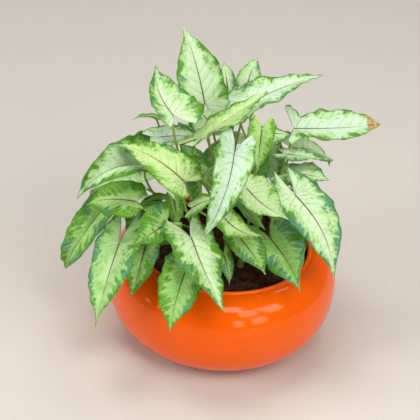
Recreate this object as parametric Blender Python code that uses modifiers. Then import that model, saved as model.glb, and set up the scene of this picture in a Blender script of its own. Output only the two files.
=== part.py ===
# Arrowhead plant (Syngonium) in a round bowl pot.
# Metres, +Z up. The pot's flat base lies on z = 0 and its axis is the Z axis.
# The photograph was taken from the -Y side.
import math

import bmesh
import bpy
import numpy as np
from mathutils import Vector
from mathutils.bvhtree import BVHTree

MM = 0.001

# Pot, mm
POT_RADIUS = 80.0          # at the widest part
POT_WIDEST_Z = 43.0
POT_HEIGHT = 69.5
BASE_RADIUS = 42.0
MOUTH_RADIUS = 60.6        # outside of the rim
POT_WALL = 2.4
POT_FLOOR = 3.0
POT_STEPS = 48
LOWER_ROUND = 0.884        # how full the lower curve is

# Soil, mm
SOIL_TOP = 60.3
SOIL_MOUND = 1.2
SOIL_GAP = 0.6

# Blades and stalks, mm
BLADE_THICK = 0.8
BLADE_ROWS = 9
BLADE_COLS = 3
BLADE_CURL = 0.3           # how far a half rolls down to its edge, radians
BLADE_WAVE = 0.06
STALK_RADIUS = 0.95
STALK_END_RADIUS = 0.8
STALK_POINTS = 9
STALK_GAP = 0.4            # between a stalk's end and its blade
STEM_RADIUS = 2.2
STEM_FOOT_Z = 61.9

# Routes tried for each stalk: where it leaves its stem, how it leans and rises (mm), how far it comes
# in from behind the joint (radians) or from the side, and how far it runs straight below the blade (mm)
STALK_STARTS = (0.2, 0.45, 0.7, 0.95)
STALK_LEANS = (0.0, 0.5)
STALK_RISES = (8, 18, 32)
STALK_BACKS = (0.0, 0.3, 0.6)
STALK_ASIDES = (-0.3, 0.0, 0.3)
STALK_REACHES = (8, 16, 28)
STALK_CHECKS = 6           # points tested on each run of a route
STALK_TURN = 0.3           # the sharpest easy turn at a point, radians

# Stems: foot (x, y) on the soil and head (x, y, z), mm
STEMS = {
    "left": ((-24, -12), (-30, -14, 84)),
    "front": ((-10, -24), (-14, -30, 84)),
    "front_right": ((12, -18), (16, -26, 86)),
    "right": ((27, -6), (36, -10, 92)),
    "rear_left": ((-16, 10), (-24, 16, 96)),
    "middle": ((3, 0), (0, -2, 104)),
    "rear_right": ((20, 16), (28, 22, 98)),
    "rear": ((0, 26), (0, 36, 94)),
}


def leaf(joint, tip, roll, wide, bend, fold, **more):
    """One blade. joint and tip are mm; roll about the blade's length, bend of the midrib and fold of the
    left and right halves are degrees; wide is the half width as a share of the length."""
    plain = dict(sweep=0.0, twist=0, lobe=0.32, splay=0.0, left=1.0, full=0.7, spread=False)
    return dict(plain, joint=joint, tip=tip, roll=roll, wide=wide, bend=bend, fold=fold, **more)


# Placed by eye over the photograph, with the pot 160 mm across. The rear ones can't be seen there.
LEAVES = {
    "leaf_top_centre": leaf((-19, 22, 164), (-37, 45, 210), 10, 0.32, 30, (15, 8), twist=-10,
                            lobe=0.28, full=1.0),
    "leaf_top_left": leaf((-39, -6, 169), (-53, 27, 188), -5, 0.40, -20, (26, 30), sweep=0.08,
                          left=0.75, full=0.2),
    "leaf_rear_left_thin": leaf((-51, 22, 151), (-67, 20, 150), -10, 0.30, 45, (24, 18)),
    "leaf_arching_left": leaf((-56, -3, 124), (-98, -34, 118), 15, 0.44, 120, (45, 50), twist=-30,
                              full=0.0),
    "leaf_yellow_left": leaf((-29, -36, 138), (-73, -16, 150), 20, 0.31, 60, (20, 22), twist=-10,
                             lobe=0.16, full=0.2),
    "leaf_inner_left": leaf((-35, -29, 119), (-32, -36, 103), -5, 0.36, 45, (20, 18)),
    "leaf_middle_left": leaf((-39, -45, 110), (-58, -67, 108), 25, 0.42, -25, (6, 24), twist=-10,
                             left=0.78),
    "leaf_front_centre": leaf((-22, -54, 107), (2, -96, 80), 5, 0.32, 40, (5, 15), sweep=-0.07,
                              twist=-5),
    "leaf_front_low": leaf((-24, -64, 88), (-32, -89, 56), 0, 0.36, 45, (18, 20), full=1.0),
    "leaf_front_left_low": leaf((-52, -45, 91), (-59, -66, 64), 5, 0.30, 35, (20, 20), sweep=0.03),
    "leaf_left_low": leaf((-69, -42, 91), (-80, -87, 55), -5, 0.29, 20, (30, 12), twist=10, lobe=0.42,
                          splay=-0.2, left=1.1, full=1.0),
    "leaf_far_left": leaf((-84, -2, 91), (-108, -17, 49), 30, 0.25, 120, (42, 32), sweep=0.07,
                          twist=-10, full=1.1),
    "leaf_left_middle": leaf((-60, -31, 117), (-93, -21, 106), 15, 0.40, 40, (8, 24), twist=-15,
                             lobe=0.2, splay=-0.4, full=1.2),
    "leaf_left_strip": leaf((-44, -20, 112), (-59, -21, 106), 15, 0.35, 55, (12, 22)),
    "leaf_left_shaded": leaf((-60, -25, 101), (-60, -28, 82), 10, 0.39, 65, (18, 24), full=1.0),
    "leaf_centre_pale": leaf((2, -34, 160), (-15, -65, 114), 25, 0.25, 90, (45, 38), sweep=0.06,
                             lobe=0.26, full=0.4),
    "leaf_right_folded": leaf((19, -14, 167), (18, -25, 142), 0, 0.33, 55, (22, 20)),
    "leaf_top_yellow": leaf((-17, -12, 160), (22, 18, 178), 25, 0.36, 0, (12, 18), twist=20, left=0.86),
    "leaf_top_right_long": leaf((9, 30, 162), (60, 52, 177), -7, 0.26, 15, (22, 20), splay=0.5,
                                full=0.5),
    "leaf_rear_top": leaf((-4, 59, 156), (-8, 76, 170), 5, 0.32, 40, (20, 20)),
    "leaf_rear_top_right": leaf((8, 51, 160), (15, 74, 176), -5, 0.31, 50, (22, 18)),
    "leaf_far_right": leaf((42, 20, 151), (100, 25, 156), -15, 0.23, -12, (30, 20), twist=10, lobe=0.1,
                           spread=True),
    "leaf_right_inner": leaf((24, 9, 152), (41, 16, 148), -20, 0.38, 10, (17, 6), left=0.8),
    "leaf_right_upper": leaf((37, 2, 141), (60, -8, 145), 0, 0.34, 0, (14, 14), twist=12),
    "leaf_right_middle": leaf((40, -6, 131), (65, -26, 140), -10, 0.38, 15, (10, 6), twist=15,
                              full=1.1),
    "leaf_right_front": leaf((43, -34, 132), (72, -60, 86), -25, 0.27, 35, (12, 20), sweep=0.08,
                             twist=15, splay=-0.5),
    "leaf_centre_right": leaf((12, -34, 134), (39, -56, 127), -10, 0.35, -15, (25, 15), sweep=-0.05,
                              twist=15, lobe=0.24,
                              splay=-0.4, left=1.14, full=1.2),
    "leaf_centre_shaded": leaf((8, -30, 120), (26, -30, 101), -5, 0.35, 0, (20, 18), twist=10),
    "leaf_front_small": leaf((-1, -40, 114), (23, -57, 114), -20, 0.30, -20, (22, 12), sweep=-0.1,
                             twist=10, full=0.3),
    "leaf_front_right": leaf((10, -36, 97), (28, -56, 83), 0, 0.38, 15, (18, 14), twist=10, full=1.2),
    "leaf_right_low": leaf((30, -31, 95), (50, -74, 84), -25, 0.35, -5, (28, 18), sweep=0.05, twist=25,
                           left=1.2, full=1.3),
    "leaf_inner_dark": leaf((0, -38, 84), (5, -48, 67), 5, 0.28, 30, (17, 22)),
    "leaf_centre_behind": leaf((-28, -6, 130), (-7, -17, 134), -25, 0.38, 5, (25, 10), twist=15,
                               full=1.0),
    "leaf_centre_left": leaf((-22, -40, 121), (-7, -48, 134), -25, 0.36, 20, (15, 5), twist=10,
                             full=1.0),
    "leaf_centre_edge": leaf((-14, -22, 134), (-5, -18, 144), 10, 0.30, 50, (16, 20)),
    "leaf_upper_white": leaf((-47, -2, 150), (-19, 11, 143), -5, 0.35, 40, (15, 16), sweep=-0.05,
                             twist=15),
    "leaf_inside_left": leaf((-18, 5, 112), (-36, 20, 136), 0, 0.44, 30, (15, 15)),
    "leaf_inside_right": leaf((13, 6, 114), (28, 23, 138), 0, 0.44, 30, (15, 15)),
    "leaf_inside_high": leaf((-11, 22, 110), (-4, 30, 138), 0, 0.40, 30, (15, 15)),
    "leaf_rear_left": leaf((-42, 36, 122), (-76, 64, 93), 20, 0.34, 30, (20, 18)),
    "leaf_rear_mid_left": leaf((-16, 58, 122), (-30, 102, 93), -2, 0.34, 45, (20, 18)),
    "leaf_rear_mid_right": leaf((16, 51, 121), (28, 95, 90), 10, 0.34, 45, (20, 18), sweep=0.03),
    "leaf_rear_right": leaf((46, 39, 125), (74, 66, 97), -15, 0.34, 45, (20, 18)),
    "leaf_rear_far_left": leaf((-62, 14, 104), (-98, 34, 78), 6, 0.34, 45, (20, 18), sweep=-0.03),
    "leaf_rear_far_right": leaf((50, 18, 106), (78, 30, 76), -8, 0.34, 45, (20, 18)),
    "leaf_rear_high": leaf((-14, 40, 138), (-24, 84, 122), 2, 0.34, 45, (20, 18), sweep=0.03),
    "leaf_rear_high_right": leaf((26, 24, 116), (31, 41, 142), 0, 0.36, 30, (15, 15)),
    "leaf_rear_low_left": leaf((-26, 56, 98), (-38, 92, 66), -10, 0.34, 45, (20, 18)),
    "leaf_rear_low": leaf((8, 56, 98), (10, 96, 62), 15, 0.34, 35, (20, 18)),
    "leaf_rear_low_right": leaf((38, 49, 96), (60, 76, 68), -5, 0.34, 45, (20, 18)),
}

# A blade is a loft of two halves. Each half runs from an inner edge (lobe tip, sinus, joint, midrib, tip)
# to an outer edge. The first number is along the blade, as a share of its length in front of the joint
# and of the lobe's length behind it; the second is across, as a share of the half width.
OUTER = ((-1.0, 0.60), (-0.72, 0.84), (-0.30, 0.98), (0.10, 1.0), (0.31, 0.86), (0.51, 0.64),
         (0.70, 0.38), (0.86, 0.15), (1.0, 0.0))
INNER = ((-1.0, 0.60), (-0.70, 0.33), (-0.35, 0.13), (0.0, 0.0), (0.16, 0.0), (0.36, 0.0),
         (0.58, 0.0), (0.79, 0.0), (1.0, 0.0))
FULLER = (0, 0, 0, 0, 0.11, 0.17, 0.10, 0, 0)
# one blade has lobes that stand out sideways
OUTER_SPREAD = ((-1.0, 1.15), (-0.5, 1.42), (0.0, 1.10), (0.09, 0.74), (0.31, 0.95), (0.51, 1.0),
                (0.70, 0.85), (0.86, 0.50), (1.0, 0.0))
INNER_SPREAD = ((-1.0, 1.15), (-0.7, 0.80), (-0.35, 0.38), (0.0, 0.0), (0.16, 0.0), (0.36, 0.0),
                (0.58, 0.0), (0.79, 0.0), (1.0, 0.0))


def clear_scene():
    for ob in list(bpy.data.objects):
        bpy.data.objects.remove(ob, do_unlink=True)


def new_collection(name):
    col = bpy.data.collections.new(name)
    bpy.context.scene.collection.children.link(col)
    return col


def material(name, colour, rough):
    mat = bpy.data.materials.new(name)
    mat.use_nodes = True
    node = mat.node_tree.nodes["Principled BSDF"]
    node.inputs["Base Color"].default_value = (*colour, 1.0)
    node.inputs["Roughness"].default_value = rough
    mat.diffuse_color = (*colour, 1.0)
    return mat


def object_from(bm, name, mat, col):
    me = bpy.data.meshes.new(name)
    bm.to_mesh(me)
    bm.free()
    ob = bpy.data.objects.new(name, me)
    me.materials.append(mat)
    col.objects.link(ob)
    return ob


def turned(name, profile, mat, col, steps):
    """Body turned about Z from (radius, z) points in mm, from axis to axis."""
    bm = bmesh.new()
    verts = [bm.verts.new((r * MM, 0.0, z * MM)) for r, z in profile]
    for a, b in zip(verts, verts[1:]):
        bm.edges.new((a, b))
    ob = object_from(bm, name, mat, col)
    sc = ob.modifiers.new("Turn", "SCREW")
    sc.axis = "Z"
    sc.angle = math.tau
    sc.steps = steps
    sc.render_steps = steps
    sc.use_merge_vertices = True
    sc.merge_threshold = 0.00001
    sc.use_normal_calculate = True
    sc.use_smooth_shade = True
    return ob


def bowl(radius, base, mouth, low, high, widest, n_low, n_high):
    """Points of the bowl's side from the base edge up to the mouth."""
    pts = []
    for i in range(n_low + 1):
        a = math.pi / 2 * i / n_low
        pts.append((base + (radius - base) * math.sin(a) ** LOWER_ROUND,
                    low + (widest - low) * (1 - math.cos(a) ** LOWER_ROUND)))
    for i in range(1, n_high + 1):
        a = math.pi / 2 * i / n_high
        pts.append((mouth + (radius - mouth) * math.cos(a), widest + (high - widest) * math.sin(a)))
    return pts


def smooth(points, rows):
    """Points on a smooth curve through the given points."""
    p = np.array(points, float)
    t = np.linspace(0, len(p) - 1, rows)
    i = np.minimum(t.astype(int), len(p) - 2)
    f = (t - i)[:, None]
    a = p[np.maximum(i - 1, 0)]
    b = p[i]
    c = p[i + 1]
    d = p[np.minimum(i + 2, len(p) - 1)]
    return 0.5 * (2 * b + (c - a) * f + (2 * a - 5 * b + 4 * c - d) * f ** 2
                  + (3 * b - a - 3 * c + d) * f ** 3)


def midrib(length, bend):
    """Arc of the midrib in its own plane, bending more towards the tip; it ends on the chord."""
    x = np.linspace(0, 1, 49)
    ang = -math.radians(bend) * x ** 1.2
    mid = (ang[1:] + ang[:-1]) / 2
    px = np.concatenate([[0], np.cumsum(np.cos(mid))])
    pz = np.concatenate([[0], np.cumsum(np.sin(mid))])
    span = math.hypot(px[-1], pz[-1])
    turn = -math.atan2(pz[-1], px[-1])
    c = math.cos(turn)
    s = math.sin(turn)
    return x, (c * px - s * pz) * length / span, (s * px + c * pz) * length / span, ang + turn


def axes(leaf):
    """Joint, length, chord, normal and left side of a blade."""
    joint = np.array(leaf["joint"], float)
    chord = np.array(leaf["tip"], float) - joint
    length = float(np.linalg.norm(chord))
    d = chord / length
    up = np.array([0.0, 0.0, 1.0]) - d[2] * d
    up /= np.linalg.norm(up)
    r = math.radians(leaf["roll"])
    n = up * math.cos(r) + np.cross(up, d) * math.sin(r)
    return joint, length, d, n, np.cross(n, d)


def blade_points(leaf, rows, cols):
    """Grid of points of both halves of a blade, in mm."""
    joint, length, d, n, s = axes(leaf)
    wide = leaf["wide"] * length
    lobe = leaf["lobe"] * length
    mx, mu, mw, ma = midrib(length, leaf["bend"])
    spread = leaf.get("spread", False)
    fuller = 0.0 if spread else leaf["full"]
    edge = OUTER_SPREAD if spread else OUTER
    out = smooth([(a, b + fuller * g) for (a, b), g in zip(edge, FULLER)], rows)
    inn = smooth(INNER_SPREAD if spread else INNER, rows)
    inn[:, 1] = np.where(inn[:, 0] >= -1e-6, 0, np.maximum(inn[:, 1], 0))
    c = np.linspace(0, 1, cols)[None, :, None]
    grid = inn[:, None, :] * (1 - c) + out[:, None, :] * c
    along = grid[..., 0]
    x = np.clip(along, 0, 1)
    behind = np.clip(-along, 0, None)
    ang = np.interp(x, mx, ma)
    pu = np.interp(x, mx, mu) - behind * lobe * np.cos(ang)
    pw = np.interp(x, mx, mw) - behind * lobe * np.sin(ang)
    turn = math.radians(leaf["twist"]) * x
    sweep = leaf["sweep"] * length * np.sin(math.pi * x)
    t = np.linspace(0, 1, rows)[:, None]
    across = np.linspace(0, 1, cols)[None, :]
    halves = []
    for k, side in ((0, 1.0), (1, -1.0)):
        half = wide * (leaf["left"] if k == 0 else 2 - leaf["left"])
        v = grid[..., 1] * half * (1 + leaf["splay"] * np.clip(-along, 0, 1))
        fold = math.radians(leaf["fold"][k])
        curl = BLADE_CURL / half
        pv = (np.sin(fold) - np.sin(fold - curl * v)) / curl
        ph = (np.cos(fold - curl * v) - np.cos(fold)) / curl
        wave = np.sin(math.tau * (2.6 * t + 0.37 * k)) * np.sqrt(np.sin(math.pi * t).clip(0, 1))
        ph = ph + BLADE_WAVE * half * across ** 2 * wave
        qv = side * pv * np.cos(turn) - ph * np.sin(turn) + sweep
        qw = side * pv * np.sin(turn) + ph * np.cos(turn)
        halves.append(joint + (pu - qw * np.sin(ang))[..., None] * d + qv[..., None] * s
                      + (pw + qw * np.cos(ang))[..., None] * n)
    return halves


def blade_mesh(leaf):
    """The blade's middle surface as vertices (mm) and triangles."""
    bm = bmesh.new()
    for side, grid in enumerate(blade_points(leaf, BLADE_ROWS, BLADE_COLS)):
        verts = [[bm.verts.new(tuple(p)) for p in row] for row in grid]
        for i in range(BLADE_ROWS - 1):
            for j in range(BLADE_COLS - 1):
                ring = [verts[i][j], verts[i + 1][j], verts[i + 1][j + 1], verts[i][j + 1]]
                bm.faces.new(ring if side else ring[::-1])
    bmesh.ops.remove_doubles(bm, verts=bm.verts, dist=0.02)
    bmesh.ops.triangulate(bm, faces=bm.faces)
    return bm


def make_blade(name, leaf, mat, col):
    bm = blade_mesh(leaf)
    bmesh.ops.scale(bm, vec=(MM, MM, MM), verts=bm.verts)
    ob = object_from(bm, name, mat, col)
    so = ob.modifiers.new("Thickness", "SOLIDIFY")
    so.thickness = BLADE_THICK * MM
    so.offset = 0.0
    so.use_even_offset = False
    return ob


def bezier(handles, count):
    """Points on many cubic curves at once: handles are four (n, 3) arrays."""
    t = np.linspace(0, 1, count)[None, :, None]
    a, b, c, d = (h[:, None, :] for h in handles)
    return (1 - t) ** 3 * a + 3 * (1 - t) ** 2 * t * b + 3 * (1 - t) * t * t * c + t ** 3 * d


def stem_line(key):
    base, top = STEMS[key]
    return np.array((*base, STEM_FOOT_Z), float), np.array(top, float)


def stalk_choices(leaf):
    """Every route tried for a leaf's stalk: stem keys and four handles, (n, 3) each."""
    joint, length, d, n, s = axes(leaf)
    first = midrib(length, leaf["bend"])[3][0]
    normal = n * math.cos(first) - d * math.sin(first)
    ahead = d * math.cos(first) + n * math.sin(first)
    rows = []
    for key in STEMS:
        foot, head = stem_line(key)
        for share in STALK_STARTS:
            start = foot + (head - foot) * share
            out = (joint - start) * (1, 1, 0)
            out /= max(1.0, np.linalg.norm(out))
            for lean in STALK_LEANS:
                for rise in STALK_RISES:
                    first_handle = start + rise * (np.array((0, 0, 1.0)) + lean * out)
                    for back in STALK_BACKS:
                        for aside in STALK_ASIDES:
                            aim = -normal * math.cos(back) - ahead * math.sin(back) + s * aside
                            aim /= np.linalg.norm(aim)
                            ca = -float(aim @ normal)
                            sa = math.sqrt(max(0.0, 1 - ca * ca))
                            gap = (BLADE_THICK / 2 + STALK_GAP + STALK_END_RADIUS * min(1, sa + 0.2)) / ca
                            end = joint + aim * gap
                            for reach in STALK_REACHES:
                                rows.append((key, start, first_handle, end + aim * reach, end))
    keys = [r[0] for r in rows]
    return keys, [np.array([r[i] for r in rows]) for i in range(1, 5)]


def cut_up(lines, parts):
    """The same many-point lines with each run cut into that many parts."""
    share = np.arange(parts)[None, None, :, None] / parts
    runs = lines[:, :-1, None] + (lines[:, 1:, None] - lines[:, :-1, None]) * share
    return np.concatenate([runs.reshape(len(lines), -1, 3), lines[:, -1:]], axis=1)


def clear_of(tree, points, need):
    for p, gap in zip(points, need):
        if tree.find_nearest(Vector(p), gap)[0] is not None:
            return False
    return True


def apart(points, others, gap):
    if not others:
        return True
    other = np.concatenate(others)
    return np.linalg.norm(points[:, None] - other[None], axis=2).min() >= gap


def route_stalks():
    """Pick each stalk's shortest gentle route that clears the blades, the pot and other plantlets."""
    trees = {}
    for name, leaf in LEAVES.items():
        bm = blade_mesh(leaf)
        trees[name] = BVHTree.FromBMesh(bm)
        bm.free()
    stems = {k: np.linspace(*stem_line(k), 20) for k in STEMS}
    done = {k: [] for k in STEMS}
    routes = {}
    side_gap = STALK_RADIUS + BLADE_THICK / 2 + STALK_GAP + 0.1
    for name in sorted(LEAVES, key=lambda n: LEAVES[n]["joint"][2]):
        keys, handles = stalk_choices(LEAVES[name])
        lines = bezier(handles, STALK_POINTS)
        paths = cut_up(lines, STALK_CHECKS)
        steps = np.diff(lines, axis=1)
        size = np.linalg.norm(steps, axis=2)
        unit = steps / size[..., None]
        turn = np.arccos((unit[:, 1:] * unit[:, :-1]).sum(2).clip(-1, 1))
        radius = np.hypot(paths[..., 0], paths[..., 1])
        low = np.where(paths[..., 2] < POT_HEIGHT + 3, radius, 0).max(axis=1) > MOUTH_RADIUS - 5
        sunk = paths[:, STALK_CHECKS:, 2].min(axis=1) < STEM_FOOT_Z + 1
        crowd = np.array([len(done[k]) for k in keys])
        cost = (size.sum(axis=1) + 30 * turn.sum(axis=1) + 400 * (turn.max(axis=1) - STALK_TURN).clip(0)
                + 8 * crowd + 1e6 * (low | sunk))
        for i in np.argsort(cost, kind="stable"):
            path = paths[i]
            key = keys[i]
            from_end = np.linalg.norm(path - path[-1], axis=1)
            own = np.interp(from_end, (0.0, 1.2, 2.5), (0.75, 1.5, side_gap))
            if not clear_of(trees[name], path, own):
                continue
            need = np.full(len(path), side_gap)
            if not all(clear_of(trees[o], path, need) for o in LEAVES if o != name):
                continue
            if not apart(path, [stems[k] for k in STEMS if k != key],
                         STEM_RADIUS * 1.3 + STALK_RADIUS + STALK_GAP):
                continue
            if not apart(path, [p for k in STEMS if k != key for p in done[k]], 2 * STALK_RADIUS + 0.7):
                continue
            break
        done[key].append(path)
        routes[name] = (key, lines[i])
    return routes


def tube(name, pts, radii, mat, col):
    """A closed tube through points in mm, as a mesh object."""
    cu = bpy.data.curves.new(name, "CURVE")
    cu.dimensions = "3D"
    cu.bevel_depth = MM
    cu.bevel_resolution = 1
    cu.use_fill_caps = True
    sp = cu.splines.new("POLY")
    sp.points.add(len(pts) - 1)
    for point, p, r in zip(sp.points, pts, radii):
        point.co = (*(np.array(p) * MM), 1.0)
        point.radius = r
    ob = bpy.data.objects.new(name + "_curve", cu)
    col.objects.link(ob)
    me = bpy.data.meshes.new_from_object(ob)
    bpy.data.objects.remove(ob, do_unlink=True)
    bm = bmesh.new()
    bm.from_mesh(me)
    bpy.data.meshes.remove(me)
    bmesh.ops.remove_doubles(bm, verts=bm.verts, dist=0.00001)
    bmesh.ops.recalc_face_normals(bm, faces=bm.faces)
    return object_from(bm, name, mat, col)


def make_plantlet(key, routes, mat, col, cutters):
    """A short stem with its stalks, joined into one solid."""
    foot, head = stem_line(key)
    pts = [foot, foot + np.array((0, 0, 2.0))]
    pts += [foot + (head - foot) * t for t in (0.3, 0.55, 0.8, 0.95, 1.0)]
    radii = [STEM_RADIUS * r for r in (1.3, 1.2, 1.05, 1.0, 0.9, 0.75, 0.45)]
    stem = tube("plantlet_" + key, pts, radii, mat, col)
    for name, (stem_key, path) in routes.items():
        if stem_key != key:
            continue
        radii = [STALK_RADIUS * 1.25] + [STALK_RADIUS] * (STALK_POINTS - 2) + [STALK_END_RADIUS]
        part = tube("stalk_" + name, path, radii, mat, cutters)
        part.hide_render = True
        part.display_type = "WIRE"
        bo = stem.modifiers.new("Join", "BOOLEAN")
        bo.operation = "UNION"
        bo.solver = "EXACT"
        bo.object = part
    return stem


def main():
    clear_scene()
    plant = new_collection("arrowhead_plant")
    cutters = new_collection("cutters")
    orange = material("pot_plastic", (0.85, 0.15, 0.01), 0.25)
    peat = material("peat", (0.05, 0.03, 0.02), 0.95)
    green = material("stalk_green", (0.30, 0.42, 0.12), 0.5)
    leaf_green = material("leaf_green", (0.45, 0.62, 0.35), 0.45)

    side = bowl(POT_RADIUS, BASE_RADIUS, MOUTH_RADIUS, 0.0, POT_HEIGHT, POT_WIDEST_Z, 9, 7)
    inner = bowl(POT_RADIUS - POT_WALL, BASE_RADIUS - POT_WALL, MOUTH_RADIUS - POT_WALL, POT_FLOOR,
                 POT_HEIGHT, POT_WIDEST_Z, 9, 7)
    turned("pot", [(0, 0)] + side + inner[::-1] + [(0, POT_FLOOR)], orange, plant, POT_STEPS)

    low = POT_FLOOR + SOIL_GAP
    wall = POT_RADIUS - POT_WALL - SOIL_GAP
    fill = bowl(wall, BASE_RADIUS - POT_WALL - SOIL_GAP, MOUTH_RADIUS - POT_WALL - SOIL_GAP, low,
                POT_HEIGHT, POT_WIDEST_Z, 9, 14)
    fill = [p for p in fill if p[1] < SOIL_TOP - 1]
    top_r = fill[-1][0]
    for f in (0.97, 0.8, 0.55, 0.3):
        fill.append((top_r * f, SOIL_TOP + SOIL_MOUND * (1 - f * f) - 1.0 * f ** 6))
    turned("soil", [(0, low)] + fill + [(0, SOIL_TOP + SOIL_MOUND)], peat, plant, POT_STEPS)

    routes = route_stalks()
    for key in STEMS:
        make_plantlet(key, routes, green, plant, cutters)
    for name, leaf in LEAVES.items():
        make_blade(name, leaf, leaf_green, plant)


main()
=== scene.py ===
# Arrowhead plant (Syngonium) in a round orange bowl pot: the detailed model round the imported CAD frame.
# Metres, +Z up. Sizes below are in mm, as in part.py. The photograph was taken from the -Y side.
import math
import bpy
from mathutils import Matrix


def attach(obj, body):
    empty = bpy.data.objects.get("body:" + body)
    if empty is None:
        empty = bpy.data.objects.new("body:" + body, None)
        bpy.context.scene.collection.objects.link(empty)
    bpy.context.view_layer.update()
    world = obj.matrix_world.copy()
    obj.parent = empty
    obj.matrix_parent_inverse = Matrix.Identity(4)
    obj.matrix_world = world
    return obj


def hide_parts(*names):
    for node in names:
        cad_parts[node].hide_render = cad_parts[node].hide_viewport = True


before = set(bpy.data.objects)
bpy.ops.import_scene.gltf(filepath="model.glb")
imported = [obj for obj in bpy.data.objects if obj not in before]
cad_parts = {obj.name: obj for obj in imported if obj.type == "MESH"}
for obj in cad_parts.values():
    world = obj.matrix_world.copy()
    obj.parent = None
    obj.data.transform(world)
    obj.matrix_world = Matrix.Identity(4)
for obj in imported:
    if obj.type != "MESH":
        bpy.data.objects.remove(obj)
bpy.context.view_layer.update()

from types import SimpleNamespace

import bmesh
import bpy
import numpy as np
from mathutils import Matrix, Vector, noise
from mathutils.bvhtree import BVHTree

MM = 0.001

# Camera, from the ellipse of the pot's mouth and the pot's outline
CAMERA_PLACE = (-11, -760, 575)    # mm
CAMERA_DOWN = 32.3                 # degrees
CAMERA_ROLL = 3.7
CAMERA_LENS = 112.8                # mm on a sensor SENSOR_WIDTH mm wide
SENSOR_WIDTH = 36

# Pot and soil, mm, as in part.py
POT_RADIUS = 80.0
POT_WIDEST_Z = 43.0
POT_HEIGHT = 69.5
BASE_RADIUS = 42.0
MOUTH_RADIUS = 60.6
POT_WALL = 2.4
POT_FLOOR = 3.0
LOWER_ROUND = 0.884
SOIL_TOP = 60.3
SOIL_MOUND = 1.2
SOIL_GAP = 0.6
POT_STEPS = 192                    # round the pot
SOIL_STEPS = 260                   # round the soil
SOIL_RINGS = 62
SOIL_SINK = 0.4                    # the crumbly top is lowered by this much, so that it stays in its box

# Blades, mm
BLADE_ROWS = 57
BLADE_COLS = 12
BLADE_THICK = 0.42
BLADE_CURL = 0.3                   # radians from midrib to edge
BLADE_WAVE = 0.06                  # of the half width
VEINS = 8.0                        # side veins on each side of the midrib
VEIN_SLOPE = 0.62                  # how far a side vein climbs for each mm out
VEIN_BOW = 1.1
VEIN_FAN = 27.0                    # degrees between the veins round the joint
PUFF = 0.6                         # how far the surface stands up between two veins
SURFACE_WAVE = 0.8
MIDRIB_GROOVE = 0.42
EDGE_RUFFLE = 0.75
FULL_SIZE = 55                     # a blade at least this long has the whole relief
DRY_FADE = 0.08                    # share of the length over which a dry tip begins
SEED_STEP = 0.37                   # from one leaf's seed to the next
PATTERN_STEP = 37.0                # how far apart two seeds lie in the patterns

# Stalks, mm
STALK_VOXEL = 0.4
STALK_SOFTEN = 6                   # rounds of smoothing
STALK_END_REACH = 1.6              # vertices this near the nearest one belong to a stalk's end
# where the stalk runs on under the midrib: share of the blade's length, radius
STALK_TAPER = ((0.0, 0.74), (0.03, 0.6), (0.07, 0.48), (0.14, 0.38), (0.24, 0.3), (0.38, 0.22))

# Loose bits on the soil
CRUMBS = 900
FIBRES = 70
FIBRE_RINGS = 7

# Leaf colours, as linear red, green and blue. A pair is the two ends of a mottled range.
MINT = ((0.44, 0.67, 0.35), (0.72, 0.83, 0.67))
MINT_WHITE = (0.56, 0.72, 0.60)
MINT_YELLOW = (0.50, 0.68, 0.10)
# DULL is the middle of a leaf with a low pale share; on some inner leaves it stands as painted shade.
DULL = ((0.12, 0.36, 0.05), (0.30, 0.54, 0.15))
GREEN = ((0.014, 0.115, 0.001), (0.095, 0.32, 0.002))
YELLOW_GREEN = (0.24, 0.48, 0.01)
TEAL = ((0.02, 0.13, 0.08), (0.09, 0.30, 0.20))
BAND = ((0.22, 0.50, 0.08), (0.48, 0.70, 0.28))
DEEP_GREEN = (0.012, 0.095, 0.004)
FLECK_GREEN = (0.03, 0.17, 0.012)
FLECK_TEAL = (0.02, 0.13, 0.085)
NET = (0.36, 0.62, 0.17)
VEIN_ON_GREEN = (0.38, 0.65, 0.21)
VEIN_ON_PALE = (0.24, 0.50, 0.12)
RIM = (0.03, 0.19, 0.008)
RIB = ((0.09, 0.028, 0.02), (0.22, 0.12, 0.07))
SPECK = (0.16, 0.06, 0.02)
DRY = ((0.20, 0.10, 0.03), (0.48, 0.36, 0.12))
UNDERSIDE = ((0.24, 0.46, 0.10), (0.40, 0.60, 0.20))

# Other colours
STALK_GREEN = ((0.10, 0.28, 0.02), (0.26, 0.45, 0.07))
STALK_PINK = ((0.22, 0.12, 0.04), (0.34, 0.22, 0.08))
STALK_FOOT = (0.20, 0.15, 0.07)
STALK_GRAIN = (0.10, 0.20, 0.03)
ORANGE = ((0.84, 0.085, 0.0), (0.90, 0.13, 0.0))
DUST = (0.45, 0.30, 0.18)
SOIL = ((0.014, 0.005, 0.002), (0.07, 0.026, 0.012))
CRUMB = ((0.03, 0.012, 0.005), (0.13, 0.052, 0.024))
FIBRE = ((0.10, 0.055, 0.025), (0.20, 0.12, 0.06))
SOIL_GRAIN = (0.20, 0.09, 0.045)
FLOOR = ((0.60, 0.565, 0.525), (0.63, 0.595, 0.555))

# Lights. The key light is a group of small panels, because the pot mirrors the sky in broken patches.
# A panel stands where the pot mirrors it to the camera at one of the photograph's bright patches. Each
# has that patch's pixel, its size in m and its power in W. The high one is placed freely.
PATCH_PANELS = (
    ((275, 312), (0.36, 0.54), 3.7),
    ((250, 318), (0.40, 0.50), 3.5),
    ((238, 328), (0.22, 0.40), 1.3),
    ((262, 322), (0.34, 0.44), 2.0),
    ((262, 305), (0.40, 0.60), 3.1),
    ((160, 296), (0.24, 0.34), 1.4),
)
HIGH_PANEL = ((0.20, -0.66, 1.15), (0.30, 0.46), 2.9)
KEY_COLOUR = (1.0, 0.98, 0.94)
PHOTO_PIXELS = 420                 # the photograph's width and height
PANEL_AWAY = 1.3                   # m from the pot
SLOPE_REACH = 5                    # mm of the pot's side over which its slope is averaged
FILL = ((-0.9, -0.5, 0.6), (0.5, 0.7), 5.5)
LIGHTS_AIM = (0, 0, 0.08)          # m
SUN_AHEAD = (0.25, -0.12, -1.0)
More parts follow.
